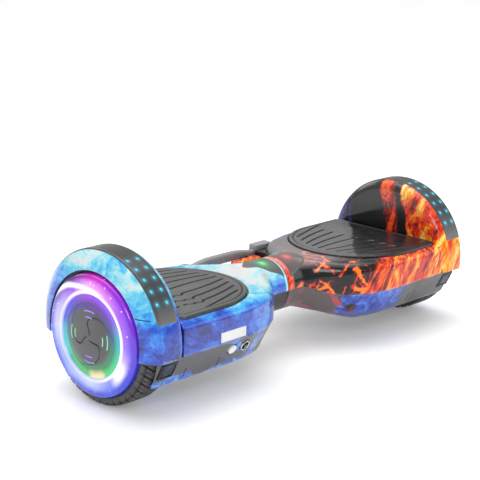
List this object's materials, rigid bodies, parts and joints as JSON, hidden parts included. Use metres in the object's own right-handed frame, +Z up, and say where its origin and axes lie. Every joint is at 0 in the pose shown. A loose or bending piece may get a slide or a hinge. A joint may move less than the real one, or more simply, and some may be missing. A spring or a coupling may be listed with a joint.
{
  "type": "self balancing hoverboard",
  "caption": "Two foot platforms that twist about a centre tube, each on a hub motor wheel under a lit fender, with a carry strap.",
  "frame": {"origin": "on the floor, under the middle of the board's bounding box", "axes": "+X to the right wheel, -Y to the side with the headlamps and the charge port, +Z up"},
  "size_m": [0.596, 0.194, 0.1798],
  "materials": {
    "ice_print_plastic": "glossy film print of blue and white ice marbling",
    "flame_print_plastic": "glossy film print of orange flames on black",
    "grey_plastic_left": "satin dark grey",
    "grey_plastic_right": "satin dark grey with printed colour streaks",
    "pad_rubber": "satin moulded rubber with grooves",
    "black_rubber": "matt",
    "strip_plastic": "smoked gloss",
    "cyan_led": "lit cyan",
    "black_plastic": "gloss black",
    "lamp_lens": "dark blue clear lens",
    "smoked_plastic": "smoked satin",
    "green_led": "lit green",
    "red_led": "lit red",
    "cast_aluminium": "as cast",
    "steel": "turned",
    "winding_copper": "enamelled windings on laminated core",
    "rim_aluminium": "painted",
    "magnet_nickel": "nickel plated",
    "tyre_rubber": "solid rubber tyre",
    "hub_plastic": "satin dark grey with raised swirls",
    "light_ring_plastic": "translucent lit ring",
    "circuit_board": "solder masked",
    "screw_black": "blackened",
    "strap_plastic": "satin",
    "bush_brass": "turned",
    "battery_wrap": "shrink wrap",
    "white_plastic": "gloss",
    "port_chrome": "plated shell with dark insulator",
    "white_label": "blank sticker",
    "strap_rubber": "satin moulded"
  },
  "bodies": {
    "left_half": {"upper_cover_left": "ice_print_plastic", "lower_cover_left": "grey_plastic_left", "fender_strip_left": "strip_plastic", "fender_lights_left": "cyan_led", "headlamp_bezel_left": "black_plastic", "headlamp_lens_left": "lamp_lens", "indicator_window_left": "smoked_plastic", "indicator_led_left": "green_led", "chassis_left": "cast_aluminium", "axle_clamp_left": "cast_aluminium", "clamp_bolts_left": "steel", "motor_axle_left": "steel", "stator_left": "winding_copper", "gyro_board_left": "circuit_board", "cover_screws_left": "screw_black", "strap_block_left": "strap_plastic", "pivot_tube": "steel", "retaining_ring": "steel", "main_board": "circuit_board", "charge_port": "port_chrome", "label_plate": "white_label", "carry_strap": "strap_rubber"},
    "left_wheel": {"wheel_rim_left": "rim_aluminium", "magnets_left": "magnet_nickel", "wheel_bearings_left": "steel", "tyre_left": "tyre_rubber", "hub_cover_left": "hub_plastic", "light_ring_left": "light_ring_plastic"},
    "left_pad": {"foot_pad_left": "pad_rubber", "pad_plungers_left": "black_rubber"},
    "right_half": {"upper_cover_right": "flame_print_plastic", "lower_cover_right": "grey_plastic_right", "fender_strip_right": "strip_plastic", "fender_lights_right": "cyan_led", "headlamp_bezel_right": "black_plastic", "headlamp_lens_right": "lamp_lens", "indicator_window_right": "smoked_plastic", "indicator_led_right": "red_led", "chassis_right": "cast_aluminium", "axle_clamp_right": "cast_aluminium", "clamp_bolts_right": "steel", "motor_axle_right": "steel", "stator_right": "winding_copper", "gyro_board_right": "circuit_board", "cover_screws_right": "screw_black", "strap_block_right": "strap_plastic", "pivot_bush": "bush_brass", "battery_pack": "battery_wrap", "speaker": "black_plastic", "speaker_grille": "black_plastic"},
    "right_wheel": {"wheel_rim_right": "rim_aluminium", "magnets_right": "magnet_nickel", "wheel_bearings_right": "steel", "tyre_right": "tyre_rubber", "hub_cover_right": "hub_plastic", "light_ring_right": "light_ring_plastic"},
    "right_pad": {"foot_pad_right": "pad_rubber", "pad_plungers_right": "black_rubber"},
    "power_button": {"power_button": "white_plastic"}
  },
  "joints": [
    {"name": "twist", "type": "hinge", "parent": "left_half", "child": "right_half", "pos_m": [0, 0, 0.0825], "axis": [1, 0, 0], "range_deg": [-12, 12], "deforming": ["carry_strap"]},
    {"name": "left_wheel_spin", "type": "hinge", "parent": "left_half", "child": "left_wheel", "pos_m": [0, 0, 0.0825], "axis": [1, 0, 0], "continuous": true},
    {"name": "right_wheel_spin", "type": "hinge", "parent": "right_half", "child": "right_wheel", "pos_m": [0, 0, 0.0825], "axis": [1, 0, 0], "continuous": true},
    {"name": "left_pad_press", "type": "slide", "parent": "left_half", "child": "left_pad", "axis": [0, 0, 1], "range_m": [-0.0015, 0], "stiffness_N_per_m": 20000, "springref_m": 0.0003},
    {"name": "right_pad_press", "type": "slide", "parent": "right_half", "child": "right_pad", "axis": [0, 0, 1], "range_m": [-0.0015, 0], "stiffness_N_per_m": 20000, "springref_m": 0.0003},
    {"name": "power_button_press", "type": "slide", "parent": "left_half", "child": "power_button", "axis": [0, 0.8996, 0.4367], "range_m": [0, 0.0012], "stiffness_N_per_m": 600, "springref_m": -0.0005}
  ]
}
